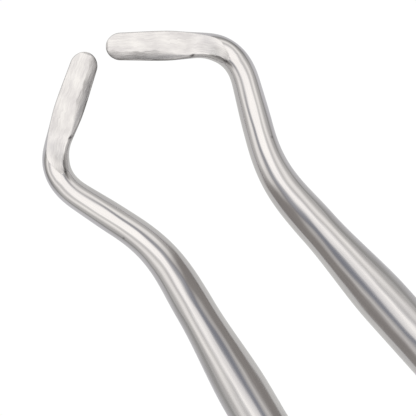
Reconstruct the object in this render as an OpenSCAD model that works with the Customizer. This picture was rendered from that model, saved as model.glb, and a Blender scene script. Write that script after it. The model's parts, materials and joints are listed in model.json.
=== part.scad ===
// A left and right pair of dental root elevators with bayonet shanks, in stainless steel.
// Millimetres, +Z up, +X towards the tips. The two lie side by side on a surface at z = 0, on a flat of
// their octagonal handles, as mirror images about the XZ plane. The origin is the middle of their footprint.
//
// Each elevator is drawn along its own handle axis: x = 0 is the shoulder where the neck meets the ferrule,
// +X runs to the tip, and +Y is the outer side, away from the other elevator.

/* [Pair] */
// Angle between each handle and the middle line, in degrees
splay = 5.75; // [0:0.05:10]
// Distance from the middle line to the middle of each tip
tip_side = 1.35; // [1:0.05:6]
// How far the right elevator lies behind the left one
stagger = 0.85; // [0:0.05:4]

/* [Blade] */
// Length of the blade from the tip to the inward bend
blade_l = 12.7; // [11:0.1:18]
// Width of the blade just behind its round nose
nose_w = 4.1; // [3.2:0.1:5]
// Greatest width of the blade
blade_w = 4.5; // [3.6:0.1:5.6]
// Width of the blade at its waist, before it runs into the bend
blade_waist_w = 3.85; // [3.4:0.05:4.4]
// Length of the rounded nose
nose_l = 2.2; // [1.6:0.05:3]
// How far the ground flat on the blade's face runs on into the inward bend
face_run = 5.9; // [4:0.1:10]
// How late along the blade the flat climbs to the top of the rod, as a power of the distance from the tip
face_rise = 3.6; // [2:0.1:5]
// How steeply the flat leans down towards the inner side where it runs out, as a slope
face_lean = 0.65; // [0:0.05:0.8]
// Height of the ground flat above the rod's middle plane at the tip
face_z = 0.35; // [0.3:0.05:0.9]
// Depth of the convex back below the middle plane at the tip
back_z = 0.35; // [0.3:0.05:0.9]
// Width of the ground strip along the blade's inner edge
edge_w = 1.1; // [0.6:0.1:1.8]
// How far that strip falls to the edge
edge_drop = 0.25; // [0.1:0.05:0.3]

/* [Shank] */
// Angle of the inward bend at the blade, in degrees
bend_in = 76.1; // [40:0.1:85]
// Length of shank in the inward bend
bend_in_l = 12; // [10:0.1:16]
// Straight length between the two bends
mid_l = 5.4; // [5:0.1:12]
// Angle of the outward bend, in degrees
bend_out = 27; // [10:0.1:40]
// Length of shank in the outward bend
bend_out_l = 15.5; // [11:0.1:20]
// Diameter at the inward bend, the thinnest place
throat_d = 4.1; // [3.6:0.05:4.8]
// Diameter at the start of the outward bend
waist_d = 4.6; // [4.2:0.05:5.6]
// Diameter at the end of the outward bend
swell_d = 6.1; // [5.4:0.05:6.8]
// Diameter of the round neck
neck_d = 7.8; // [7:0.05:9]
// Length over which the shank swells into the neck
taper_l = 15.6; // [10:0.1:24]
// Length of the straight neck
neck_l = 13.6; // [8:0.1:24]

/* [Tang] */
// Diameter of the tang inside the handle (M5 thread at its end)
tang_d = 5; // [4:0.5:6]
// Diameter of the cross pin
pin_d = 2; // [1.5:0.25:2.5]
// How far the pin's ends lie below the ferrule's spigot
pin_sink = 0.2; // [0.1:0.05:0.5]
// Gap between the spacer sleeve and the handle tube
sleeve_gap = 0.4; // [0.1:0.05:0.8]
// Length of the spacer sleeve
sleeve_l = 10; // [6:0.5:20]
// Thickness of the spring washer
washer_t = 1.2; // [0.8:0.1:1.6]
// Gap in the split spring washer
washer_gap = 1; // [0.5:0.1:1.5]
// Width across the flats of the M5 nut
nut_across = 8; // [7.5:0.1:8.5]
// Thickness of the nut
nut_t = 4; // [2.5:0.1:5]

/* [Handle] */
// Width across the flats of the octagonal handle
handle_across = 12; // [11.5:0.1:16]
// Length of the handle tube
handle_l = 76; // [60:1:100]
// Inner diameter of the handle tube
bore_d = 10; // [9.8:0.1:10.6]
// Length of the turned taper at each end of the tube
handle_taper_l = 1.2; // [0.6:0.1:3]
// Width of one ring groove across the corners
groove_w = 1.2; // [0.8:0.1:2]
// Distance from one ring groove to the next
groove_pitch = 3; // [2.4:0.1:5]
// Ring grooves in each band
groove_count = 5; // [1:1:8]
// Distance from each end of the tube to its band of grooves
groove_inset = 8; // [4:0.5:14]
// Length of the ferrule in front of the tube
ferrule_l = 12; // [8:0.5:20]
// Length of the ferrule's straight rear part, against the tube
ferrule_land_l = 2.5; // [1:0.5:4]
// Length of the spigots that plug the tube at both ends
spigot_l = 10; // [8:0.5:14]
// Length of the end cap behind the tube
cap_l = 5; // [3:0.5:8]
// Length of the cap's straight rim, against the tube
cap_rim_l = 1.5; // [0.5:0.5:2.5]
// Thickness of the O-ring on the cap's spigot
seal_t = 1.5; // [1:0.1:1.8]

/* [Hidden] */
PIECES = ["working_end", "ferrule", "ferrule_pin", "tang_sleeve", "lock_washer", "tang_nut",
    "handle_shell", "end_cap", "cap_seal"];

$fn = 64;
slip = 0.02; // radial gap between pieces that slide together when the handle is put together
squeeze = 0.06; // how much the O-ring is pressed flat between the cap and the tube
cut = 1; // how far a cutting tool runs past the metal

// Colours
blade_steel = [0.78, 0.78, 0.76];
handle_steel = [0.72, 0.73, 0.74];
inner_steel = [0.6, 0.61, 0.62];
seal_rubber = [0.12, 0.12, 0.12];

// Distances along the shank, counted from the tip
bend_in_end = blade_l + bend_in_l;
bend_out_start = bend_in_end + mid_l;
bend_out_end = bend_out_start + bend_out_l;
throat_at = bend_in_end - 4.1;
waist_at = bend_out_start + 0.5;
swell_at = bend_out_end + 2.8;
neck_at = swell_at + taper_l;
shank_l = neck_at + neck_l;
widest_at = 0.7 * blade_l;
blade_waist_at = blade_l + 1.7;
blade_end_at = blade_l + 4.7;
strip_end = blade_l + 0.3;
strip_fade = 0.35 * blade_l; // length over which the strip narrows to nothing
face_l = blade_l + face_run;
face_fade = 3; // length behind the flat's end over which its lean dies away

// The bent stretch is a lofted body; behind it everything is turned
join_at = bend_out_end + 0.4;
join_lap = 0.8; // how far the lofted body reaches into the turned one
join_step = 0.03; // how far the turned one stands proud there
sides = 32; // points round one section
ring_step = 0.75; // distance between sections
nose_rings = 5; // sections in the rounded nose
nose_cap_angle = 12; // where the nose ends in a small flat

// Distances along the handle, counted back from the shoulder
spigot_end = ferrule_l + spigot_l;
pin_at = ferrule_l + spigot_l / 2;
sleeve_end = spigot_end + sleeve_l;
washer_end = sleeve_end + washer_t;
nut_end = washer_end + nut_t;
tang_l = nut_end + 1;
handle_end = ferrule_l + handle_l;
cap_end = handle_end + cap_l;
seal_at = handle_end - spigot_l / 2;
seal_groove_d = bore_d - 2 * (seal_t - squeeze);
corner_d = handle_across / cos(22.5);
round_d = handle_across - 0.1; // turned pieces stay just clear of the surface that the flats rest on
spigot_d = bore_d - 2 * slip;
pin_l = spigot_d - 2 * pin_sink;
hole_d = tang_d + 2 * slip;
axis_z = handle_across / 2;

function smooth(t) = let (u = min(max(t, 0), 1)) u * u * (3 - 2 * u);
function ease(from, to, t) = from + (to - from) * smooth(t);

// Direction of the shank at s from the tip, in degrees from the handle's axis
function heading(s) = bend_out * (1 - smooth((s - bend_out_start) / bend_out_l))
    - bend_in * (1 - smooth((s - blade_l) / bend_in_l));

// Diameter of the round rod at s from the tip
function rod_d(s) = throat_d
    + (waist_d - throat_d) * smooth((s - throat_at) / (waist_at - throat_at))
    + (swell_d - waist_d) * smooth((s - waist_at) / (swell_at - waist_at))
    + (neck_d - swell_d) * smooth((s - swell_at) / taper_l);

// Width of the blade and shank, seen square on to the blade's face
function nose(s) = sqrt(1 - pow(1 - min(s / nose_l, 1), 2));
function plan_w(s) = nose(s) * (
    s < widest_at ? ease(nose_w, blade_w, s / widest_at)
    : s < blade_waist_at ? ease(blade_w, blade_waist_w, (s - widest_at) / (blade_waist_at - widest_at))
    : s < blade_end_at ? ease(blade_waist_w, throat_d, (s - blade_waist_at) / (blade_end_at - blade_waist_at))
    : rod_d(s));

// Slope of the ground flat across the section, its height at u, and depth of the convex back
function face_slope(s) = face_lean * pow(min(s / face_l, 1), 2 * face_rise)
    * (1 - smooth((s - face_l) / face_fade));
function face_height(s, u) = s > face_l + face_fade ? rod_d(s)
    : face_z + (throat_d / 2 - face_z) * pow(s / face_l, face_rise) + face_slope(s) * u;
function back_depth(s) = ease(back_z, rod_d(s) / 2, s / face_l);

// How far the ground strip has fallen at u across the section; it fades out where the bend begins
function strip_fall(s, u, half) = let (fade = smooth((strip_end - s) / strip_fade))
    fade < 0.02 ? 0 : edge_drop * fade * min(max(1 - (u + half) / (edge_w * fade), 0), 1);

// One section of the lofted body as [across, up] points; outwards is positive
function section(s) = let (half = plan_w(s) / 2) [
    for (i = [0:sides - 1]) let (a = 360 * i / sides, u = half * cos(a))
        [u, sin(a) < 0 ? back_depth(s) * sin(a)
            : min(rod_d(s) / 2 * sin(a), face_height(s, u) - strip_fall(s, u, half))]
];

// Where the sections stand, from the turned part to the tip
loft_start = join_at + join_lap;
ring_count = ceil((loft_start - nose_l) / ring_step);
stations = [
    for (i = [0:ring_count - 1]) loft_start - i * (loft_start - nose_l) / ring_count,
    for (i = [0:nose_rings])
        nose_l * (1 - cos(90 - i * (90 - nose_cap_angle) / nose_rings))
];
// The shank's middle line at each station, added up with the heading half way between stations
line_start = [shank_l - stations[0], 0];
middle = [
    for (i = 0, p = line_start; i < len(stations);
        step = i + 1 < len(stations) ? stations[i] - stations[i + 1] : 0,
        turn = heading(stations[i] - step / 2),
        p = p + step * [cos(turn), sin(turn)],
        i = i + 1) p
];
function placed_section(i) = let (s = stations[i], turn = heading(s)) [
    for (q = section(s)) [middle[i].x - q.x * sin(turn), middle[i].y + q.x * cos(turn), q.y]
];

// Place of each elevator in the pair
function turned_in(p) = [p.x * cos(splay) + p.y * sin(splay), p.y * cos(splay) - p.x * sin(splay)];
front_x = max([for (i = [0:len(stations) - 1]) for (q = placed_section(i)) turned_in(q).x]);
shoulder_x = (cap_end * cos(splay) - front_x + stagger) / 2;
shoulder_y = tip_side - turned_in(middle[len(middle) - 1]).y;

// Lays a shape that is drawn along Z along the handle's axis
module along_axis() {
    rotate([0, 90, 0]) children();
}

// Puts a piece of one elevator where that elevator lies
module placed(side) {
    if (side == "left")
        translate([shoulder_x, shoulder_y, axis_z]) rotate([0, 0, -splay]) children();
    else
        translate([shoulder_x - stagger, -shoulder_y, axis_z])
            mirror([0, 1, 0]) rotate([0, 0, -splay]) children();
}

// Blade and double-bent shank, lofted through the sections
module bent_shank() {
    rings = len(stations);
    points = [for (i = [0:rings - 1]) each placed_section(i)];
    walls = [
        for (i = [0:rings - 2], j = [0:sides - 1]) let (
            a = i * sides + j, b = i * sides + (j + 1) % sides)
            each [[a, b + sides, b], [a, a + sides, b + sides]]
    ];
    start = [for (j = [0:sides - 1]) j];
    end = [for (j = [sides - 1:-1:0]) (rings - 1) * sides + j];
    polyhedron(points = points, faces = concat(walls, [start, end]), convexity = 6);
}

// Swelling shank, neck and tang, turned round the handle's axis
module turned_shank() {
    swell = [for (i = [0:16]) let (s = join_at + (neck_at - join_at) * i / 16)
        [rod_d(s) / 2 + join_step * (1 - i / 16), shank_l - s]];
    thread_chamfer = 0.5;
    outline = concat(
        [[0, shank_l - join_at]], swell,
        [[neck_d / 2, 0], [tang_d / 2, 0], [tang_d / 2, -tang_l + thread_chamfer],
            [tang_d / 2 - thread_chamfer, -tang_l], [0, -tang_l]]);
    along_axis() rotate_extrude() polygon(outline);
}

module pin_hole() {
    translate([-pin_at, 0, -neck_d]) cylinder(d = pin_d + 2 * slip, h = 2 * neck_d);
}

module working_end() {
    color(blade_steel) difference() {
        union() {
            bent_shank();
            turned_shank();
        }
        pin_hole();
    }
}

module ferrule() {
    front_d = neck_d + 0.5;
    lead = 0.25;
    color(handle_steel) difference() {
        along_axis() rotate_extrude() polygon([
            [hole_d / 2, 0], [front_d / 2 - lead, 0], [front_d / 2, -lead],
            [round_d / 2, -ferrule_l + ferrule_land_l], [round_d / 2, -ferrule_l],
            [spigot_d / 2, -ferrule_l], [spigot_d / 2, -spigot_end + lead],
            [spigot_d / 2 - lead, -spigot_end], [hole_d / 2, -spigot_end]]);
        pin_hole();
    }
}

module ferrule_pin() {
    color(inner_steel) translate([-pin_at, 0, -pin_l / 2]) cylinder(d = pin_d, h = pin_l);
}

module tang_sleeve() {
    color(inner_steel) along_axis() translate([0, 0, -sleeve_end]) difference() {
        cylinder(d = bore_d - 2 * sleeve_gap, h = sleeve_l);
        translate([0, 0, -cut]) cylinder(d = hole_d, h = sleeve_l + 2 * cut);
    }
}

module lock_washer() {
    color(inner_steel) along_axis() translate([0, 0, -washer_end]) difference() {
        cylinder(d = nut_across, h = washer_t);
        translate([0, 0, -cut]) cylinder(d = hole_d, h = washer_t + 2 * cut);
        translate([0, -washer_gap / 2, -cut]) cube([nut_across, washer_gap, washer_t + 2 * cut]);
    }
}

module tang_nut() {
    color(inner_steel) along_axis() translate([0, 0, -nut_end]) difference() {
        intersection() {
            cylinder(d = nut_across / cos(30), h = nut_t, $fn = 6);
            nut_crown();
        }
        translate([0, 0, -cut]) cylinder(d = hole_d, h = nut_t + 2 * cut);
    }
}

// Turned outline that rounds the nut's corners at both faces
module nut_crown() {
    corner = nut_across / cos(30) / 2;
    chamfer = 0.4;
    rotate_extrude() polygon([
        [0, 0], [corner - chamfer, 0], [corner, chamfer],
        [corner, nut_t - chamfer], [corner - chamfer, nut_t], [0, nut_t]]);
}

module handle_shell() {
    end_r = handle_across / 2 - 0.3;
    clear = 1.1; // the taper's tool runs on past the corners by a tenth
    taper_r = end_r + clear * (corner_d / 2 - end_r);
    taper_l = clear * handle_taper_l;
    color(handle_steel) along_axis() translate([0, 0, -handle_end]) difference() {
        intersection() {
            rotate([0, 0, 22.5]) cylinder(d = corner_d, h = handle_l, $fn = 8);
            rotate_extrude() polygon([
                [0, 0], [end_r, 0], [taper_r, taper_l],
                [taper_r, handle_l - taper_l], [end_r, handle_l], [0, handle_l]]);
        }
        translate([0, 0, -cut]) cylinder(d = bore_d, h = handle_l + 2 * cut);
        for (i = [0:groove_count - 1], start = [groove_inset, handle_l - groove_inset - groove_w])
            translate([0, 0, start + i * groove_pitch * (start == groove_inset ? 1 : -1)]) ring_groove();
    }
}

// Cutter for one ring groove, which only touches the octagon's corners
module ring_groove() {
    difference() {
        cylinder(d = corner_d + cut, h = groove_w);
        translate([0, 0, -cut]) cylinder(d = handle_across + 0.1, h = groove_w + 2 * cut);
    }
}

module end_cap() {
    dome_steps = 8;
    dome_l = cap_l - cap_rim_l;
    lead = 0.25;
    room = seal_t / 2 + slip;
    dome = [for (i = [0:dome_steps]) let (a = 90 * i / dome_steps)
        [round_d / 2 * cos(a), -handle_end - cap_rim_l - dome_l * sin(a)]];
    color(handle_steel) along_axis() rotate_extrude() polygon(concat(
        [[0, -handle_end + spigot_l], [spigot_d / 2 - lead, -handle_end + spigot_l],
            [spigot_d / 2, -handle_end + spigot_l - lead],
            [spigot_d / 2, -seal_at + room], [seal_groove_d / 2, -seal_at + room],
            [seal_groove_d / 2, -seal_at - room], [spigot_d / 2, -seal_at - room],
            [spigot_d / 2, -handle_end], [round_d / 2, -handle_end]],
        dome));
}

module cap_seal() {
    color(seal_rubber) along_axis() translate([0, 0, -seal_at])
        rotate_extrude() translate([(bore_d + seal_groove_d) / 4, 0]) circle(d = seal_t, $fn = 32);
}

for (side = ["left", "right"]) {
    placed(side) working_end();
    placed(side) ferrule();
    placed(side) ferrule_pin();
    placed(side) tang_sleeve();
    placed(side) lock_washer();
    placed(side) tang_nut();
    placed(side) handle_shell();
    placed(side) end_cap();
    placed(side) cap_seal();
}
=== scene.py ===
"""A left and right pair of dental root elevators in polished stainless steel, seen from straight above.

Lengths are in millimetres until mm() turns them into metres. Each elevator is drawn along its own handle
axis, as in the CAD: x = 0 is the shoulder at the ferrule, +X runs to the tip, +Y is the outer side, +Z is up.
"""
import json
import math
import bmesh
import bpy
from mathutils import Matrix, Vector


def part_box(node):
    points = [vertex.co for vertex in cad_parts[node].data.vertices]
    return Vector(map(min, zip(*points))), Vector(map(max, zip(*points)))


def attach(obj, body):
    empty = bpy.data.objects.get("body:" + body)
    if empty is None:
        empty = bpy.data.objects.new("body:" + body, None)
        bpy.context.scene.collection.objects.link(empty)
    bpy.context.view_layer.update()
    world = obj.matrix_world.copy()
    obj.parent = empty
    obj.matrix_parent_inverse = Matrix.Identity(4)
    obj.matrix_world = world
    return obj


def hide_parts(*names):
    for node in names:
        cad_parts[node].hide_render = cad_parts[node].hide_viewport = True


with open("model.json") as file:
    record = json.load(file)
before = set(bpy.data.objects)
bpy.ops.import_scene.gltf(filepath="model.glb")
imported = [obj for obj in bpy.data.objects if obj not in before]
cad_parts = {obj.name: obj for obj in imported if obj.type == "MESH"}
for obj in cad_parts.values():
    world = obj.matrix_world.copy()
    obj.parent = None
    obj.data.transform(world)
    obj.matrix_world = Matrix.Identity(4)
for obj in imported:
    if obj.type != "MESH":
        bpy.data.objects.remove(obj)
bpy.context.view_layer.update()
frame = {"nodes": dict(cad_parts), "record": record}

# ---------------------------------------------------------------- driving sizes, the CAD's own
SPLAY = 5.75
BLADE_L, NOSE_W, BLADE_W, BLADE_WAIST_W, NOSE_L = 12.7, 4.1, 4.5, 3.85, 2.2
FACE_RUN, FACE_RISE, FACE_LEAN, FACE_Z, BACK_Z = 5.9, 3.6, 0.65, 0.35, 0.35
BEND_IN, BEND_IN_L, MID_L = 76.1, 12.0, 5.4
BEND_OUT, BEND_OUT_L = 27.0, 15.5
THROAT_D, WAIST_D, SWELL_D, NECK_D = 4.1, 4.6, 6.1, 7.8
THROAT_BACK, WAIST_RUN, SWELL_RUN = 4.1, 0.5, 2.8
TAPER_L, NECK_L = 15.6, 13.6
TANG_D, TANG_L, TANG_CHAMFER = 5.0, 38.2, 0.5
ACROSS, HANDLE_L, BORE_D, END_TAPER_L, END_DROP, CORNER_R = 12.0, 76.0, 10.0, 1.2, 0.3, 0.9
GROOVE_W, GROOVE_PITCH, GROOVE_COUNT, GROOVE_INSET = 1.2, 3.0, 5, 8.0
FERRULE_L, FERRULE_LAND_L, SPIGOT_L = 12.0, 2.5, 10.0
CAP_L, CAP_RIM_L, SEAL_T, SQUEEZE, SLIP = 5.0, 1.5, 1.5, 0.06, 0.02

# distances along the shank, counted from the tip
BEND_IN_END = BLADE_L + BEND_IN_L
BEND_OUT_START = BEND_IN_END + MID_L
BEND_OUT_END = BEND_OUT_START + BEND_OUT_L
THROAT_AT = BEND_IN_END - THROAT_BACK
WAIST_AT = BEND_OUT_START + WAIST_RUN
SWELL_AT = BEND_OUT_END + SWELL_RUN
NECK_AT = SWELL_AT + TAPER_L
SHANK_L = NECK_AT + NECK_L
WIDEST_AT, BLADE_WAIST_AT, BLADE_END_AT = 0.7 * BLADE_L, BLADE_L + 1.7, BLADE_L + 4.7
FACE_L = BLADE_L + FACE_RUN
HANDLE_END = FERRULE_L + HANDLE_L
ROUND_R = ACROSS / 2 - 0.05

# details that only the looks have
STRIP_DROP = 0.26       # how far the ground strip along the inner edge falls
STRIP_ENDS = 12.3       # where the strip runs out, from the tip
NOTCH_L = 1.3           # length of the slanting step behind it
EDGE_WALL = 0.12        # narrow wall left under the strip
OUTER_EDGE = 0.13       # broken edge along the outer side and round the nose
NOSE_FALL = 0.2         # how far the flat is rounded down at the very nose
LEAN_FADE = 3.0         # length over which the flat's lean dies away behind its end
RUN_OUT = -0.3          # where across the shank the flat runs out, as a share of its half width
RUN_OUT_L = 4.0         # the flat narrows over this length, and the rod is whole as far behind the flat's end
SQUARENESS = 2.9        # how square the outer shoulder is beside the flat; 2 is an ellipse
BREAK = 0.15            # small chamfers on the turned pieces
LEAD = 0.25             # larger chamfers and roundings on the turned pieces

# points round a section of the shank, from the outer foot over the top to the inner foot and along the back
ARC_OUT, FACE, STRIP, ARC_IN, BACK = 14, 18, 5, 12, 39
FIRST_STRIP = ARC_OUT + FACE
FIRST_WALL = FIRST_STRIP + STRIP
FIRST_BACK = FIRST_WALL + ARC_IN
SIDES = FIRST_BACK + BACK

# other counts and limits of the meshes
TURNED_SIDES, HANDLE_SIDES = 96, 160
SHARP_ANGLE = 28        # edges folded by more degrees than this stay sharp
WELD = 1e-8             # points closer than this, in metres, become one


def mm(*values):
    return Vector([v * 0.001 for v in values])


def smooth(t):
    t = min(max(t, 0.0), 1.0)
    return t * t * (3 - 2 * t)


def ease(start, end, t):
    return start + (end - start) * smooth(t)


def along(points, s):
    """The value at s of a smooth curve through (place, value) points."""
    if s <= points[0][0]:
        return points[0][1]
    for (a, u), (b, v) in zip(points, points[1:]):
        if s <= b:
            return ease(u, v, (s - a) / (b - a))
    return points[-1][1]


def bell(off, width):
    """1 in the middle of a soft hump, and nearly 0 two widths away from it."""
    return math.exp(-(off / width) ** 2)


def at_most_one(x, width=0.05):
    """x up to 1 and 1 from there on, with the corner between them rounded over width."""
    if abs(x - 1) >= width:
        return min(x, 1.0)
    return x - (x - 1 + width) ** 2 / (4 * width)


# ---------------------------------------------------------------- shape of the shank
def heading(s):
    return math.radians(BEND_OUT * (1 - smooth((s - BEND_OUT_START) / BEND_OUT_L))
                        - BEND_IN * (1 - smooth((s - BLADE_L) / BEND_IN_L)))


def rod_d(s):
    return (THROAT_D + (WAIST_D - THROAT_D) * smooth((s - THROAT_AT) / (WAIST_AT - THROAT_AT))
            + (SWELL_D - WAIST_D) * smooth((s - WAIST_AT) / (SWELL_AT - WAIST_AT))
            + (NECK_D - SWELL_D) * smooth((s - SWELL_AT) / TAPER_L))


def plan_w(s):
    nose = math.sqrt(1 - (1 - min(s / NOSE_L, 1)) ** 2)
    if s > BLADE_END_AT:
        return nose * rod_d(s)
    return nose * along([(0, NOSE_W), (WIDEST_AT, BLADE_W), (BLADE_WAIST_AT, BLADE_WAIST_W),
                         (BLADE_END_AT, THROAT_D)], s)


def face_slope(s):
    """How steeply the ground flat leans up towards the outer side; it leans most where it runs out."""
    fade = 1 - smooth((s - FACE_L) / LEAN_FADE)
    return FACE_LEAN * at_most_one(s / FACE_L) ** (2 * FACE_RISE) * fade


def face_height(s, u):
    """Height of the ground flat at u across the section."""
    return FACE_Z + (THROAT_D / 2 - FACE_Z) * (s / FACE_L) ** FACE_RISE + face_slope(s) * u


def flat_height(s, u):
    """Height of the flat at u, with its rounding at the very nose."""
    return face_height(s, u) - NOSE_FALL * (1 - smooth(s / 0.35))


def rod_height(s, u):
    """Height of the unground rod at u. Its outer side is square-shouldered beside the flat's end."""
    half = plan_w(s) / 2
    square = smooth((s - FACE_L + RUN_OUT_L) / 3.2) * (1 - smooth((s - FACE_L + 0.6) / 3))
    power = 2 + (SQUARENESS - 2) * square if u > 0 else 2
    return rod_d(s) / 2 * max(0.0, 1 - abs(u / half) ** power) ** (1 / power)


def near_run_out(s):
    return s > FACE_L - RUN_OUT_L


def is_ground(s):
    """Whether the flat still cuts into the rod at s."""
    u = RUN_OUT * plan_w(s) / 2
    return not near_run_out(s) or rod_height(s, u) > flat_height(s, u)


def top_height(s, u):
    """Height of the section's top at u: the flat where it cuts the rod, and otherwise the rod."""
    rod = rod_height(s, u)
    return min(rod, flat_height(s, u)) if is_ground(s) else rod


def flat_edge(s, side):
    """How far the flat reaches across on one side, 1 outer or -1 inner, found by halving."""
    half = plan_w(s) / 2
    near, far = RUN_OUT * half if near_run_out(s) else 0.0, side * half
    for _ in range(30):
        middle = (near + far) / 2
        if rod_height(s, middle) > flat_height(s, middle):
            near = middle
        else:
            far = middle
    return (near + far) / 2


def top_span(s):
    """Inner and outer end of the section's top: the flat's own, or a stretch of rod where it has ended."""
    half = plan_w(s) / 2
    spread = ease(0.06, 0.7, (s - FACE_L) / 5) * half
    centre = ease(RUN_OUT, 0, (s - FACE_L) / 5) * half
    if not is_ground(s):
        return centre - spread, centre + spread
    return min(flat_edge(s, -1), centre - spread), max(flat_edge(s, 1), centre + spread)


def strip_w(s):
    """Width of the ground strip along the inner edge, a little uneven as hand grinding leaves it."""
    waver = 0.05 * math.sin(1.9 * s) + 0.04 * math.sin(4.3 * s + 1)
    return along([(0, 0.2), (1.2, 1.2), (3.7, 1.2), (7, 1.4), (9.4, 1.2), (10.7, 0.75), (12.3, 0.5),
                  (13.6, 0.6), (16.2, 0.8), (FACE_L, 1.1)], s) * (1 + waver)


def wall_arc(half, wall, height, steps):
    """A side wall from its foot (half, 0) up to (half - wall, height), as part of an ellipse through both."""
    turn = max(math.acos(max(-1.0, 1 - wall / half)), 0.05)
    return [(half - wall * (1 - math.cos(turn * k / steps)) / (1 - math.cos(turn)),
             height * math.sin(turn * k / steps) / math.sin(turn)) for k in range(steps + 1)]


def outer_wall(s, out_u):
    """The outer side, from its foot up to the top at out_u. Along the bend it takes up the rod's round."""
    half, crown = plan_w(s) / 2, rod_d(s) / 2
    if s > FACE_L + RUN_OUT_L:
        turn = math.acos(out_u / half)
        return [(half * math.cos(turn * k / ARC_OUT), crown * math.sin(turn * k / ARC_OUT))
                for k in range(ARC_OUT)]
    roundness = smooth((s - BLADE_L + 0.5) / 2)
    ground = wall_arc(half, half - out_u, top_height(s, out_u), ARC_OUT)[:-1]
    return [(u, ease(z, rod_height(s, u), roundness)) for u, z in ground]


def top_points(s, out_u, in_u):
    """The top, from its outer to its inner end, with points closer together where the rod is steep."""
    half = plan_w(s) / 2
    start = math.acos(out_u / half)
    last = math.acos(max(-1.0, min(1.0, in_u / half)))
    across = [half * math.cos(start + (last - start) * k / FACE) for k in range(FACE)]
    return [(u, top_height(s, u)) for u in across]


def strip_points(s, start, end):
    """The ground strip from start to end, two (across, up) points. It falls faster towards the edge."""
    points = []
    for k in range(STRIP):
        t = k / STRIP
        u = start[0] + (end[0] - start[0]) * t
        fallen = start[1] + (end[1] - start[1]) * (0.4 * t + 0.6 * t * t)
        points.append((u, fallen if is_ground(s) else rod_height(s, u)))
    return points


def back_points(s):
    """The round underside, which deepens from the thin blade to the full rod."""
    half, depth = plan_w(s) / 2, ease(BACK_Z, rod_d(s) / 2, s / FACE_L)
    turns = [math.pi + math.pi * k / BACK for k in range(BACK)]
    return [(half * math.cos(a), depth * math.sin(a)) for a in turns]


def section(s):
    """One section as (across, up) points, anticlockwise from the outer foot. The outer side is positive."""
    half, ground = plan_w(s) / 2, is_ground(s)
    inner_u, outer_u = top_span(s)
    step = smooth((s - STRIP_ENDS) / NOTCH_L)         # 0 along the strip, 1 behind the notch
    wanted = min(strip_w(s), 0.8 * half) if ground else 0
    edge = max(half + inner_u + 0.02, wanted)         # from the inner side to the top
    wall = edge - 0.15 * half
    if ground:
        wall = ease(min(EDGE_WALL, 0.4 * edge), edge - 0.03, step)
    in_u, low_u = -half + edge, -half + wall
    out_u = max(min(outer_u, half - OUTER_EDGE * min(1.0, 1.2 * half)), in_u + 0.1 * half)
    in_z = top_height(s, in_u)
    low_z = rod_height(s, low_u)
    if ground:
        drop = STRIP_DROP * min(1.0, s / NOSE_L + 0.3)
        low_z = max(ease(in_z - drop, in_z, step), 0.4 * in_z)
    inner_wall = [(-u, z) for u, z in reversed(wall_arc(half, wall, low_z, ARC_IN)[1:])]
    return (outer_wall(s, out_u) + top_points(s, out_u, in_u)
            + strip_points(s, (in_u, in_z), (low_u, low_z)) + inner_wall + back_points(s))


def strip_painted_shade(s, share):
    """Painted shade on the strip, darker as share goes from the flat to the edge."""
    heavy = along([(0, 0.8), (5, 1.2), (7.5, 0.8), (10, 0.4), (13, 0.5)], s)
    return (0.36 + 0.22 * share) * heavy


def wall_painted_shade(s):
    """Painted shade on the narrow wall under the strip, in slow patches."""
    return 0.8 * (0.75 + 0.25 * math.sin(0.9 * s + 0.4))


def notch_painted_shade(s):
    """Painted shade on the slanting step behind the strip."""
    return 0.75 * bell(s - STRIP_ENDS - 0.5 * NOTCH_L, 0.45)


def wedge_painted_shade(s, v):
    """A painted line of shade between the flat and the inner side, where the flat runs out."""
    middle = along([(15.0, -0.64), (17.5, -0.6), (20.5, -0.47)], s)
    length = smooth((s - 14.8) / 2.2) * (1 - smooth((s - 19.6) / 2))
    return 0.95 * length * bell(v - middle, 0.12)


def flat_painted_shade(s, v):
    """Painted shade on the flat's inner side near its end."""
    length = smooth((s - 13) / 2) * (1 - smooth((s - FACE_L) / 1.5))
    return 0.2 * length * smooth((0.4 - v) / 0.45)


def shoulder_painted_shade(s, v):
    """A painted band of shade on the outer side of the first bend."""
    length = smooth((s - 15) / 2) * (1 - smooth((s - 19.5) / 3))
    return 0.32 * length * bell(v - 0.77, 0.1)


def painted_shade(s, v, k):
    """How much painted shade lies on the steel, from 0 to 1, at v across the section and point k of it."""
    before_notch = 1 - smooth((s - STRIP_ENDS) / NOTCH_L)
    marks = [0.0]
    if k < ARC_OUT:
        marks.append(shoulder_painted_shade(s, v))
    elif k < FIRST_STRIP:
        marks.append(flat_painted_shade(s, v))
    elif k < FIRST_WALL:
        marks.append(before_notch * strip_painted_shade(s, (k - FIRST_STRIP) / STRIP))
    elif k <= FIRST_BACK:
        marks.append(before_notch * wall_painted_shade(s))
    if FIRST_STRIP <= k <= FIRST_WALL + 1:
        marks.append(notch_painted_shade(s))
    if k < FIRST_BACK:
        marks.append(wedge_painted_shade(s, v))
    return max(marks)


def stations():
    """Distances from the tip at which the sections stand."""
    nose_rings, blade_step, shank_step, turned_step, break_l = 16, 0.16, 0.3, 0.9, 0.12
    places = [NOSE_L * (1 - math.cos(math.radians(5 + 85 * k / nose_rings))) for k in range(nose_rings)]
    s = NOSE_L
    while s < SHANK_L - 0.3:
        places.append(s)
        s += blade_step if s < FACE_L + 2 else shank_step if s < BEND_OUT_END + 4 else turned_step
    return places + [SHANK_L - break_l, SHANK_L]


def middle_line(places):
    """The shank's middle line at each place, worked out from the straight neck at x = 0 to the tip."""
    steps = 4
    backwards = list(reversed(places))
    x, y = 0.0, 0.0
    line = [(x, y)]
    for here, ahead in zip(backwards, backwards[1:]):
        for k in range(steps):
            turn = heading(here + (ahead - here) * (k + 0.5) / steps)
            x += (here - ahead) / steps * math.cos(turn)
            y += (here - ahead) / steps * math.sin(turn)
        line.append((x, y))
    return list(reversed(line))


# ---------------------------------------------------------------- meshes
def add_object(name, mesh):
    thing = bpy.data.objects.new(name, mesh)
    bpy.context.scene.collection.objects.link(thing)
    return thing


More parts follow.
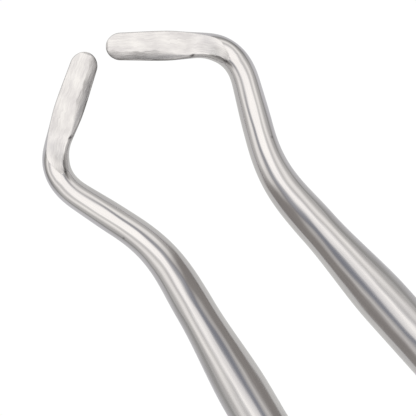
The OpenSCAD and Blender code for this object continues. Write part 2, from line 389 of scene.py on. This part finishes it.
def rings_to_mesh(name, rings, grain, materials, slots, closed_ends=True, dark=None):
    """A mesh through rings of points. grain holds each point's place along and across the metal's grain."""
    count = len(rings[0])
    verts = [mm(*p) for ring in rings for p in ring]
    faces, kinds = [], []
    for r in range(len(rings) - 1):
        for k in range(count):
            a, b = r * count + k, r * count + (k + 1) % count
            faces.append((a, b, b + count, a + count))
            kinds.append(slots(r, k))
    if closed_ends:
        faces.append(tuple(reversed(range(count))))
        kinds.append(slots(0, 0))
        faces.append(tuple((len(rings) - 1) * count + k for k in range(count)))
        kinds.append(slots(len(rings) - 2, 0))
    mesh = bpy.data.meshes.new(name)
    mesh.from_pydata(verts, [], faces)
    mesh.update()
    lay = mesh.attributes.new("grain", "FLOAT_VECTOR", "POINT")
    for k, value in enumerate(grain):
        lay.data[k].vector = value
    # each point's painted shade, from 0 to 1, kept as a mesh attribute that darkens the steel's colour
    if dark:
        marks = mesh.attributes.new("painted_shade", "FLOAT", "POINT")
        for k, value in enumerate(dark):
            marks.data[k].value = value
    for m in materials:
        mesh.materials.append(m)
    for polygon, kind in zip(mesh.polygons, kinds):
        polygon.material_index = kind
        polygon.use_smooth = True
    mesh.set_sharp_from_angle(angle=math.radians(SHARP_ANGLE))
    return add_object(name, mesh)


def weld(piece, drop_ends=0):
    """Joins points that lie on each other. drop_ends is the corner count of end faces to take off first."""
    b = bmesh.new()
    b.from_mesh(piece.data)
    if drop_ends:
        ends = [f for f in b.faces if len(f.verts) == drop_ends]
        bmesh.ops.delete(b, geom=ends, context="FACES_ONLY")
    bmesh.ops.remove_doubles(b, verts=b.verts, dist=WELD)
    b.to_mesh(piece.data)
    b.free()


def turned(name, profile, material):
    """A turned piece from (radius, x) points, front to back. The grain runs round it, as off a lathe."""
    rings, grain = [], []
    turns = [2 * math.pi * j / TURNED_SIDES for j in range(TURNED_SIDES)]
    run = 0.0
    for k, (r, x) in enumerate(profile):
        if k:
            run += math.hypot(r - profile[k - 1][0], x - profile[k - 1][1])
        rings.append([(x, r * math.cos(a), r * math.sin(a)) for a in turns])
        grain += [(run, r * a, 0) for a in turns]
    return rings_to_mesh(name, rings, grain, [material], lambda r, k: 0)


def turned_tube(name, profile, material):
    """A turned piece with a hole: its profile is a closed loop."""
    piece = turned(name, profile, material)
    weld(piece, drop_ends=TURNED_SIDES)
    return piece


def arc(centre, radius, start, end, steps):
    """(radius, x) points of an arc about (radius, x) centre, angles in degrees from the +radius direction."""
    turns = [math.radians(start + (end - start) * k / steps) for k in range(steps + 1)]
    return [(centre[0] + radius * math.cos(a), centre[1] + radius * math.sin(a)) for a in turns]


# ---------------------------------------------------------------- materials
class Nodes:
    """Short ways to add and join shader nodes in one tree."""

    def __init__(self, tree):
        self.tree = tree
        tree.nodes.clear()

    def add(self, kind, _values=None, **inputs):
        """A node of a kind. i0, i1 and so on set its inputs by number, and other names set them by name."""
        n = self.tree.nodes.new(kind)
        for k, v in (_values or {}).items():
            setattr(n, k, v)
        for k, v in inputs.items():
            numbered = k[0] == "i" and k[1:].isdigit()
            socket = n.inputs[int(k[1:])] if numbered else n.inputs[k.replace("_", " ")]
            if isinstance(v, bpy.types.NodeSocket):
                self.tree.links.new(v, socket)
            else:
                socket.default_value = v
        return n

    def ramp(self, factor, stops):
        n = self.add("ShaderNodeValToRGB", i0=factor)
        while len(n.color_ramp.elements) < len(stops):
            n.color_ramp.elements.new(0.5)
        for e, (place, colour) in zip(n.color_ramp.elements, stops):
            e.position = place
            e.color = (*colour, 1) if isinstance(colour, tuple) else (colour, colour, colour, 1)
        return n.outputs["Color"]

    def stretched(self, vector, scale):
        return self.add("ShaderNodeMapping", i0=vector, i3=scale).outputs[0]

    def noise(self, vector, scale, detail=4.0, rough=0.6):
        return self.add("ShaderNodeTexNoise", Vector=vector, Scale=scale, Detail=detail,
                        Roughness=rough).outputs[0]

    def between(self, factor, low, high, start=0.0, end=1.0):
        """low to high as the factor goes from start to end."""
        return self.add("ShaderNodeMapRange", i0=factor, i1=start, i2=end, i3=low, i4=high).outputs[0]

    def maths(self, operation, *values, clamp=False):
        inputs = {f"i{k}": v for k, v in enumerate(values)}
        return self.add("ShaderNodeMath", {"operation": operation, "use_clamp": clamp}, **inputs).outputs[0]

    def axis(self, vector, number):
        return self.add("ShaderNodeSeparateXYZ", i0=vector).outputs[number]

    def mix_colour(self, factor, first, second):
        return self.add("ShaderNodeMix", {"data_type": "RGBA"}, i0=factor, i6=first, i7=second).outputs[2]

    def bump(self, height, strength, distance, **more):
        n = self.add("ShaderNodeBump", Strength=strength, Distance=distance, Height=height, **more)
        return n.outputs[0]


def new_material(name):
    m = bpy.data.materials.new(name)
    m.use_nodes = True
    return m, Nodes(m.node_tree)


def finish_metal(n, shade, rough, normal):
    metal = n.add("ShaderNodeBsdfPrincipled", Base_Color=shade, Metallic=1.0, Roughness=rough, Normal=normal)
    n.add("ShaderNodeOutputMaterial", Surface=metal.outputs[0])


STEEL = (0.60, 0.586, 0.574)
TOOL_MARK = 0.00002     # depth of fine tool marks, in metres


def painted_shade_strength(n, grain, speck_at):
    """How dark the painted shade is: the painted shade drawn on the mesh, broken up by noise, and one small
    dark speck.
    """
    dark = n.add("ShaderNodeAttribute", {"attribute_name": "painted_shade"}).outputs["Fac"]
    shade_breakup = n.noise(n.stretched(grain, (0.5, 6, 1)), 1.0, 4.0, 0.6)
    patchy = n.between(shade_breakup, 0.4, 1.5, 0.3, 0.7)
    amount = n.maths("MULTIPLY", dark, patchy, clamp=True)
    if speck_at:
        away = n.add("ShaderNodeVectorMath", {"operation": "DISTANCE"}, i0=grain, i1=(*speck_at, 0))
        speck = n.between(away.outputs["Value"], 0.0, 0.45, 0.32, 0.08)
        amount = n.maths("MAXIMUM", amount, speck)
    return amount


def steel(name, tone, streaks, roughness, bump, hard=0.2, wave=0.0, speck_at=None, painted_light=None, softer=None):
    """Steel with a grain. tone and roughness are ranges; streaks is the noise's scale along and across it.

    hard: how hard the streaks are, with less meaning harder
    wave: height of the slow unevenness that hand polishing leaves
    speck_at: place of a small dark speck
    painted_light: (start, end, gain) of a stretch from the tip along which the steel's colour is painted
    brighter, a painted light
    softer: (start, end, more) of a stretch along which the polish gets rougher
    """
    m, n = new_material(name)
    grain = n.add("ShaderNodeAttribute", {"attribute_name": "grain"}).outputs["Vector"]
    reach = n.axis(grain, 0)
    fine = n.noise(n.stretched(grain, (streaks[0], streaks[1], 1)), 1.0, 6.0, 0.65)
    broad = n.noise(n.stretched(grain, (streaks[0] * 0.9, streaks[1] * 0.15, 1)), 1.0, 3.0, 0.5)
    both = n.add("ShaderNodeMix", {"data_type": "FLOAT"}, i0=0.5, i2=fine, i3=broad).outputs[0]

    low = tuple(c * tone[0] * k for c, k in zip(STEEL, (1.0, 0.99, 1.015)))
    high = tuple(c * tone[1] for c in STEEL)
    shade = n.ramp(both, [(0.5 - hard, low), (0.5 + hard, high)])
    # painted light: the colour is scaled up along this stretch
    if painted_light:
        start, end, gain = painted_light
        lift = n.between(reach, 1.0, gain, start, end)
        shade = n.add("ShaderNodeVectorMath", {"operation": "SCALE"}, i0=shade, i3=lift).outputs[0]
    # painted shade: the colour is darkened as far as the mesh's painted shade says
    painted_shade_colour = tuple(c * k for c, k in zip(STEEL, (0.13, 0.125, 0.125)))
    shade = n.mix_colour(painted_shade_strength(n, grain, speck_at), shade, (*painted_shade_colour, 1))

    rough = n.between(both, *roughness)
    if softer:
        start, end, more = softer
        rough = n.maths("ADD", rough, n.between(reach, 0.0, more, start, end))

    normal = n.bump(fine, bump, TOOL_MARK)
    if wave:
        slow = n.noise(n.stretched(grain, (0.12, 0.4, 1)), 1.0, 1.0, 0.4)
        normal = n.bump(slow, 1.0, wave * 0.001, Normal=normal)
    finish_metal(n, shade, rough, normal)
    return m


def polished_steel():
    """The shank: a bright hand polish with faint lengthwise marks, a little softer towards the neck."""
    return steel("polished_steel", tone=(0.9, 1.05), streaks=(0.12, 4), roughness=(0.08, 0.14), bump=0.2,
                 hard=0.16, wave=0.12, speck_at=(32.75, -1.75), softer=(47, 62, 0.07))


def brushed_blade():
    """The flat of the blade, brushed lengthwise, with painted light that brightens its colour towards the
    bend.
    """
    return steel("brushed_blade", tone=(0.78, 1.05), streaks=(0.35, 4.5), roughness=(0.26, 0.34), bump=0.35,
                 hard=0.12, painted_light=(12.5, 15.8, 1.42))


def ground_edge():
    """The strip ground along the blade's inner edge."""
    return steel("ground_edge", tone=(0.80, 1.05), streaks=(0.9, 7), roughness=(0.22, 0.34), bump=0.4)


def turned_steel():
    """Ferrule and cap, with fine rings from the lathe."""
    return steel("turned_steel", tone=(0.93, 1.03), streaks=(9, 0.3), roughness=(0.12, 0.2), bump=0.2)


def satin_handle():
    """The handle tube, with a satin finish drawn lengthwise."""
    return steel("satin_handle", tone=(0.92, 1.03), streaks=(0.3, 9), roughness=(0.2, 0.3), bump=0.25)


def hardware_steel():
    """Plain turned steel for the pieces inside the handle, with faint tool marks."""
    m, n = new_material("hardware_steel")
    place = n.add("ShaderNodeTexCoord").outputs["Object"]
    marks = n.noise(n.stretched(place, (9000, 600, 600)), 1.0)
    shade = n.ramp(marks, [(0.3, (0.40, 0.40, 0.41)), (0.7, (0.52, 0.52, 0.53))])
    finish_metal(n, shade, n.between(marks, 0.25, 0.4), n.bump(marks, 0.15, TOOL_MARK))
    return m


def seal_rubber():
    """Black rubber with a faint speckle."""
    m, n = new_material("seal_rubber")
    place = n.add("ShaderNodeTexCoord").outputs["Object"]
    speck = n.noise(place, 2500.0, 3.0)
    shade = n.ramp(speck, [(0.3, 0.018), (0.7, 0.035)])
    normal = n.bump(speck, 0.2, TOOL_MARK)
    skin = n.add("ShaderNodeBsdfPrincipled", Base_Color=shade, Roughness=0.6, Normal=normal)
    n.add("ShaderNodeOutputMaterial", Surface=skin.outputs[0])
    return m


POLISHED, BRUSHED, GROUND = polished_steel(), brushed_blade(), ground_edge()
TURNED, SATIN, HARDWARE, RUBBER = turned_steel(), satin_handle(), hardware_steel(), seal_rubber()


# ---------------------------------------------------------------- pieces of one elevator
def shank_ring(s, x, y):
    """One ring of the shank: its points and, for each, its grain, its painted shade and whether it is on the
    flat.
    """
    points, turn, half = section(s), heading(s), plan_w(s) / 2
    ring = [(x - u * math.sin(turn), y + u * math.cos(turn), z) for u, z in points]
    runs = [0.0]
    for (u, z), (next_u, next_z) in zip(points, points[1:]):
        runs.append(runs[-1] + math.hypot(next_u - u, next_z - z))
    middle = runs[min(range(ARC_OUT, FIRST_STRIP), key=lambda k: abs(points[k][0]))]
    grain = [(s, run - middle, 0) for run in runs]
    dark = [painted_shade(s, u / half, k) for k, (u, z) in enumerate(points)]
    near = 0.25 * (1 - smooth(s / 0.4)) + 0.01
    on_flat = [abs(z - face_height(s, u)) < near for u, z in points]
    return ring, grain, dark, on_flat


def tang_ring(radius, x):
    """One ring of the hidden tang, laid out as a ring of the shank."""
    scale = 2 * radius / NECK_D
    points = section(SHANK_L)
    ring = [(x, u * scale, z * scale) for u, z in points]
    grain = [(SHANK_L - x, u, 0) for u, z in points]
    return ring, grain, [0.0] * SIDES, [False] * SIDES


def working_end(name):
    """Blade, shank and neck through the shank's sections, then the tang. Rings run from the tip back."""
    radius = TANG_D / 2
    places = stations()
    made = [shank_ring(s, x, y) for s, (x, y) in zip(places, middle_line(places))]
    made += [tang_ring(radius, 0.0), tang_ring(radius, TANG_CHAMFER - TANG_L),
             tang_ring(radius - TANG_CHAMFER, -TANG_L)]
    rings, grain, dark, on_flat = zip(*made)

    def finish(r, k):
        """Number of the material on the face behind ring r that starts at point k of the turned-over ring."""
        k = (SIDES - 2 - k) % SIDES
        s = places[min(r, len(places) - 1)]
        if ARC_OUT <= k < FIRST_STRIP and s < FACE_L + 2 and on_flat[r][k]:
            return 1
        if FIRST_STRIP <= k <= FIRST_WALL and s < STRIP_ENDS + 0.7:
            return 2
        return 0

    # the rings are turned over to keep the faces outward
    rings = [list(reversed(ring)) for ring in rings]
    grain = [value for ring in grain for value in reversed(ring)]
    dark = [value for ring in dark for value in reversed(ring)]
    return rings_to_mesh(name, rings, grain, [POLISHED, BRUSHED, GROUND], finish, dark=dark)


def ferrule(name):
    """Collar with a rounded front, a cone up to the handle, a plain land and a spigot in the tube's bore."""
    hole, front, spigot = TANG_D / 2 + SLIP, (NECK_D + 0.5) / 2, BORE_D / 2 - SLIP
    land, step, end = -FERRULE_L + FERRULE_LAND_L, -FERRULE_L, -FERRULE_L - SPIGOT_L
    cone = [(front + (ROUND_R - front) * k / 8, -LEAD + (land + LEAD) * k / 8) for k in range(9)]
    rounding = arc((front - LEAD, -LEAD), LEAD, 90, 0, 5)
    profile = ([(hole, 0), (front - LEAD, 0)] + rounding[1:] + cone[1:]
               + [(ROUND_R, land - 0.8), (ROUND_R, step + BREAK), (ROUND_R - BREAK, step), (spigot, step),
                  (spigot, end + LEAD), (spigot - LEAD, end), (hole, end), (hole, 0)])
    return turned_tube(name, profile, TURNED)


def end_cap(name):
    """Domed plug with a spigot in the handle's bore and a groove round it for the seal."""
    spigot, groove = BORE_D / 2 - SLIP, BORE_D / 2 - SEAL_T + SQUEEZE
    step, tip = -HANDLE_END, -HANDLE_END + SPIGOT_L
    seal_at, room = step + SPIGOT_L / 2, SEAL_T / 2 + SLIP
    dome_l, dome_steps = CAP_L - CAP_RIM_L, 24
    turns = [math.radians(90 * k / dome_steps) for k in range(dome_steps)]
    dome = [(ROUND_R * math.cos(a), step - CAP_RIM_L - dome_l * math.sin(a)) for a in turns]
    profile = ([(0.01, tip), (spigot - LEAD, tip), (spigot, tip - LEAD), (spigot, seal_at + room),
                (groove, seal_at + room), (groove, seal_at - room), (spigot, seal_at - room), (spigot, step),
                (ROUND_R - BREAK, step), (ROUND_R, step - BREAK)] + dome + [(0.02, step - CAP_L)])
    return turned(name, profile, TURNED)


def octagon_r(angle):
    """Outline of the handle at an angle: an octagon with a flat below, its corners rounded."""
    step = math.pi / 4
    a = (angle + step / 2) % step - step / 2          # from the middle of the nearest flat
    flat = ACROSS / 2
    # the corner's arc touches both flats and stands on the line through the corner
    centre_d = (flat - CORNER_R) / math.cos(step / 2)
    touch = math.atan2((flat - CORNER_R) * math.tan(step / 2), flat)
    if abs(a) <= touch:
        return flat / math.cos(a)
    off = step / 2 - abs(a)
    return centre_d * math.cos(off) + math.sqrt(max(0.0, CORNER_R ** 2 - (centre_d * math.sin(off)) ** 2))


def groove_places():
    """Where each ring groove starts, from the tube's front end: one row near each end."""
    front = [GROOVE_INSET + k * GROOVE_PITCH for k in range(GROOVE_COUNT)]
    return front + [HANDLE_L - g - GROOVE_W for g in front]


def lathe_r(d):
    """Radius that the lathe leaves at a distance from the tube's front end: end tapers and ring grooves."""
    corner_r, end_r, floor_r = ACROSS / 2 / math.cos(math.pi / 8), ACROSS / 2 - END_DROP, ACROSS / 2 + 0.06
    near = min(d, HANDLE_L - d)
    r = corner_r + 1
    if near < END_TAPER_L:
        r = end_r + (corner_r - end_r) * near / END_TAPER_L
    for g in groove_places():
        if g <= d <= g + GROOVE_W:
            depth = min(1, min(d - g, g + GROOVE_W - d) / LEAD)
            r = min(r, floor_r + (corner_r - floor_r) * (1 - math.sin(math.pi / 2 * depth)))
    return r


def handle_places():
    """Distances from the tube's front end at which its outside needs a ring."""
    taper_steps, lip_steps, plain_step, clear, least = 6, 4, 2.0, 0.02, 0.015
    places = {0.0, HANDLE_L} | {k * plain_step for k in range(1, int(HANDLE_L / plain_step))}
    for k in range(taper_steps + 1):
        places |= {END_TAPER_L * k / taper_steps, HANDLE_L - END_TAPER_L * k / taper_steps}
    for g in groove_places():
        places |= {g - clear, g + GROOVE_W + clear}
        for k in range(lip_steps + 1):
            places |= {g + LEAD * k / lip_steps, g + GROOVE_W - LEAD * k / lip_steps}
    kept = [0.0]
    for p in sorted(places):
        if p - kept[-1] > least:
            kept.append(p)
    return kept


def handle_shell(name):
    """Octagonal tube with ring grooves across its corners. Rings run along the outside, then back inside."""
    turns = [2 * math.pi * j / HANDLE_SIDES for j in range(HANDLE_SIDES)]
    bore = BORE_D / 2
    rings, grain = [], []

    def add(radius_at, d, run):
        x = -FERRULE_L - d
        rings.append([(x, radius_at(a) * math.cos(a), radius_at(a) * math.sin(a)) for a in turns])
        grain.extend((run, a * ACROSS / 2, 0) for a in turns)

    add(lambda a: bore, 0, 0)
    for d in handle_places():
        add(lambda a: min(octagon_r(a), lathe_r(d)), d, d)
    add(lambda a: bore, HANDLE_L, HANDLE_L + 1)
    add(lambda a: bore, 0, 2 * HANDLE_L)
    piece = rings_to_mesh(name, rings, grain, [SATIN], lambda r, k: 0, closed_ends=False)
    weld(piece)
    return piece


# ---------------------------------------------------------------- the pair
def place_of(side):
    """Where one elevator's shoulder lies and how it is turned, from the CAD's own resting flat."""
    rest = next(m for m in frame["record"]["mounts"] if m["name"] == f"{side}_rest")
    x, y, _ = rest["pos_m"]
    reach, height = mm(FERRULE_L + HANDLE_L / 2, ACROSS / 2)
    turn = math.radians(SPLAY)
    flip = 1 if side == "left" else -1
    shoulder = Vector((x + reach * math.cos(turn), y - flip * reach * math.sin(turn), height))
    mirror = Matrix.Diagonal((1, flip, 1, 1))
    return Matrix.Translation(shoulder) @ mirror @ Matrix.Rotation(-turn, 4, "Z")


def settle(piece, side):
    """Moves a piece's points to that elevator's place, and keeps its faces outward when it is mirrored."""
    piece.data.transform(place_of(side))
    if side == "right":
        piece.data.flip_normals()
    piece.data.update()


def give_material(node_name, material):
    """Gives a CAD node, which stays as it is, its finished material."""
    node = frame["nodes"][node_name]
    node.data.materials.clear()
    node.data.materials.append(material)


FINISHED = {"working_end": (working_end, "blade_steel"), "ferrule": (ferrule, "handle_steel"),
            "handle_shell": (handle_shell, "handle_steel"), "end_cap": (end_cap, "handle_steel")}

for side in ("left", "right"):
    for part, (make, slot) in FINISHED.items():
        piece = make(f"{side}_{part}_finished")
        settle(piece, side)
        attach(piece, f"{side}_elevator")
        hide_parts(f"{side}_{part}")
    for part in ("ferrule_pin", "tang_sleeve", "lock_washer", "tang_nut"):
        give_material(f"{side}_{part}", HARDWARE)
    give_material(f"{side}_cap_seal", RUBBER)


# ---------------------------------------------------------------- stage
WHITE = (1, 1, 1, 1)
WHITE_STRENGTH = 1.02   # just past white, so that no grey is left in the picture's background


def glow(n, colour, strength=1.0):
    return n.add("ShaderNodeEmission", Color=colour, Strength=strength).outputs[0]


def floor_tone(n):
    """What the steel sees of the floor: brightest along the middle line, with a cool glow beside the tips."""
    reach, glow_start, glow_end, glow_share = 0.06, 0.042, 0.055, 0.75
    place = n.add("ShaderNodeTexCoord").outputs["Object"]
    share = n.maths("DIVIDE", n.maths("ABSOLUTE", n.axis(place, 1)), reach)
    tone = n.ramp(share, [(0, (0.80, 0.80, 0.79)), (0.2, (0.80, 0.80, 0.79)), (0.33, (0.74, 0.74, 0.76)),
                          (0.45, (0.64, 0.64, 0.65)), (0.75, (0.50, 0.50, 0.49)), (1, (0.46, 0.46, 0.45))])
    ahead = n.between(n.axis(place, 0), 0.0, 1.0, glow_start, glow_end)
    outside = n.ramp(share, [(0.27, 0.0), (0.43, 1.0), (0.65, 1.0), (0.9, 0.0)])
    amount = n.maths("MULTIPLY", n.maths("MULTIPLY", ahead, outside), glow_share)
    return n.mix_colour(amount, tone, (0.86, 0.86, 0.90, 1))


def make_floor():
    """A plain floor, white to the camera, just under the elevators."""
    size, gap = 3.0, 0.05
    mesh = bpy.data.meshes.new("floor")
    corners = [(-size, -size, 0), (size, -size, 0), (size, size, 0), (-size, size, 0)]
    mesh.from_pydata(corners, [], [(0, 1, 2, 3)])
    floor = add_object("floor", mesh)
    floor.location = mm(0, 0, -gap)
    m, n = new_material("white_floor")
    seen = n.add("ShaderNodeLightPath").outputs["Is Camera Ray"]
    both = n.add("ShaderNodeMixShader", i0=seen, i1=glow(n, floor_tone(n)), i2=glow(n, WHITE, WHITE_STRENGTH))
    n.add("ShaderNodeOutputMaterial", Surface=both.outputs[0])
    mesh.materials.append(m)


def card_material(name, colour):
    """Glows in one colour, and is as solid as the mesh's own attribute says."""
    m, n = new_material(name)
    part = n.add("ShaderNodeAttribute", {"attribute_name": "solid"}).outputs["Fac"]
    clear = n.add("ShaderNodeBsdfTransparent").outputs[0]
    both = n.add("ShaderNodeMixShader", i0=part, i1=clear, i2=glow(n, (*colour, 1)))
    n.add("ShaderNodeOutputMaterial", Surface=both.outputs[0])
    return m


def make_card(name, across, along_it, place, solidity, colour):
    """A soft-edged studio card that only shows as a reflection in the steel. place(i, j) gives each point of
    its grid, and solidity(i, j), from 0 to 1, how solid it is there."""
    grid = [(i / across, j / along_it) for j in range(along_it + 1) for i in range(across + 1)]
    row = across + 1
    faces = [(j * row + i, j * row + i + 1, (j + 1) * row + i + 1, (j + 1) * row + i)
             for j in range(along_it) for i in range(across)]
    mesh = bpy.data.meshes.new(name)
    mesh.from_pydata([mm(*place(i, j)) for i, j in grid], [], faces)
    solid = mesh.attributes.new("solid", "FLOAT", "POINT")
    for k, (i, j) in enumerate(grid):
        solid.data[k].value = solidity(i, j)
    mesh.materials.append(card_material(name, colour))
    card = add_object(name, mesh)
    for kind in ("camera", "diffuse", "transmission", "volume_scatter", "shadow"):
        setattr(card, f"visible_{kind}", False)


CARDS_REAR, FLAG_FRONT, RAIL_FRONT, RAIL_HALF_W = -90.0, 56.0, 74, 64


def flag_place(i, j):
    """The flag stands on the line between the two elevators."""
    low, high = 2, 30
    return CARDS_REAR + (FLAG_FRONT - CARDS_REAR) * i, 0, low + (high - low) * j


def flag_solidity(i, j):
    """Solid low down behind the second bend, and a haze above it and ahead."""
    x, _, z = flag_place(i, j)
    foot = along([(46, 5.8), (52, 2.5)], x)
    top = along([(CARDS_REAR, 13), (32, 13), (39, 13.5), (45, 17), (48, 13), (53, 8)], x)
    core = along([(48, 1), (53.5, 0)], x) * (1 - smooth((z - top) / 9))
    haze = along([(39, 0.3), (45, 0.55), (49, 0.4), (53, 0.2), (FLAG_FRONT, 0)], x) * smooth((29 - z) / 3)
    return smooth((z - foot) / 2) * (haze + (1 - haze) * core)


def rail_place(i, j):
    """The rail hangs above the pair, lower towards the tips."""
    x = CARDS_REAR + (RAIL_FRONT - CARDS_REAR) * i
    return x, RAIL_HALF_W * (2 * j - 1), along([(CARDS_REAR, 42), (12, 39), (44, 33), (66, 27)], x)


def rail_solidity(i, j):
    """Solid along its middle, with a haze beside that and a faint band along each side."""
    x, y, _ = rail_place(i, j)
    y = abs(y)
    core = along([(0, 13.5), (39, 14), (44, 18), (48, 14.5), (54, 8.5), (62, 6.5)], x)
    depth = along([(36, 1.0), (52, 0.8), (66, 0.7)], x) * smooth((RAIL_FRONT - x) / 8)
    haze = 0.35 * smooth((24 - y) / 14) * smooth((50 - x) / 14)
    outer = 0.16 * smooth((y - 22) / 10) * smooth((RAIL_HALF_W - y) / 10) * smooth((40 - x) / 14)
    return max(depth * smooth((1 - y / core) * 1.2), haze + outer)


def make_world():
    """A soft tent round the table, white to the camera: bright overhead, in rings that dim to the horizon."""
    peak = 2.0
    warm, cool = (1.0, 0.986, 0.965), (1.0, 0.995, 1.0)
    rings = [(0, 1.6, warm), (20, 1.6, warm), (29, 1.0, cool), (36, 0.86, warm), (45, 1.2, warm),
             (52, 1.33, warm), (59, 1.25, warm), (69, 0.85, warm), (78, 0.68, warm), (90, 0.65, cool),
             (96, 0.72, cool)]
    world = bpy.data.worlds.new("studio")
    bpy.context.scene.world = world
    world.use_nodes = True
    n = Nodes(world.node_tree)
    way = n.add("ShaderNodeTexCoord").outputs["Generated"]
    share = n.maths("DIVIDE", n.maths("ARCCOSINE", n.axis(way, 2)), math.pi)
    tent = n.ramp(share, [(a / 180, tuple(v / peak * c for c in tint)) for a, v, tint in rings])
    light = n.add("ShaderNodeBackground", Color=tent, Strength=peak).outputs[0]
    plain = n.add("ShaderNodeBackground", Color=WHITE, Strength=WHITE_STRENGTH).outputs[0]
    seen = n.add("ShaderNodeLightPath").outputs["Is Camera Ray"]
    both = n.add("ShaderNodeMixShader", i0=seen, i1=light, i2=plain)
    n.add("ShaderNodeOutputWorld", Surface=both.outputs[0])


def make_camera():
    """Straight down, with the tips at the top left, on a long lens."""
    view_w, distance, sensor, roll = 62.4, 700.0, 36.0, -126.138
    behind_tip, aside = 30.26, 0.57
    tip = max(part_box("left_working_end")[1].x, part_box("right_working_end")[1].x)
    data = bpy.data.cameras.new("camera")
    data.sensor_width = sensor
    data.lens = sensor * distance / view_w
    data.clip_start, data.clip_end = 0.05, 10
    camera = add_object("camera", data)
    place = Vector((tip, 0, 0)) + mm(-behind_tip, aside, ACROSS / 2 + distance)
    camera.matrix_world = Matrix.Translation(place) @ Matrix.Rotation(math.radians(roll), 4, "Z")
    bpy.context.scene.camera = camera


make_floor()
make_card("flag_card", 120, 28, flag_place, flag_solidity, (0.355, 0.335, 0.322))
make_card("rail_card", 80, 128, rail_place, rail_solidity, (0.32, 0.335, 0.385))
make_world()
make_camera()
bpy.context.scene.view_settings.view_transform = "Standard"
